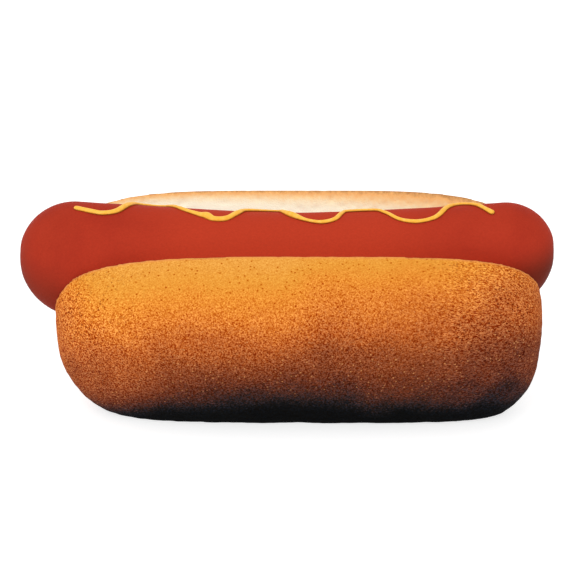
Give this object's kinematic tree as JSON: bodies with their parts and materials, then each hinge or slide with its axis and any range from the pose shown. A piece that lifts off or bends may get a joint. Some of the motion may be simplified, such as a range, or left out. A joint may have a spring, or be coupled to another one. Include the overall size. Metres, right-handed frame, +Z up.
{
  "type": "hot dog",
  "caption": "Smoked sausage with a zigzag line of mustard, lying in a soft roll that is cut lengthwise.",
  "frame": {"origin": "middle of the flat underside, at the centre of the bounding box", "axes": "+X along the roll and the sausage, to the right as the eater sees it; -Y towards the eater; +Z up"},
  "size_m": [0.1651, 0.0799, 0.0645],
  "materials": {
    "baked_crust": "matte golden-brown crust, pale crumb on the cut faces",
    "smoked_sausage": "matte brick red casing, yellow mustard on top"
  },
  "bodies": {
    "root": {"bun": "baked_crust", "sausage": "smoked_sausage"}
  },
  "joints": []
}
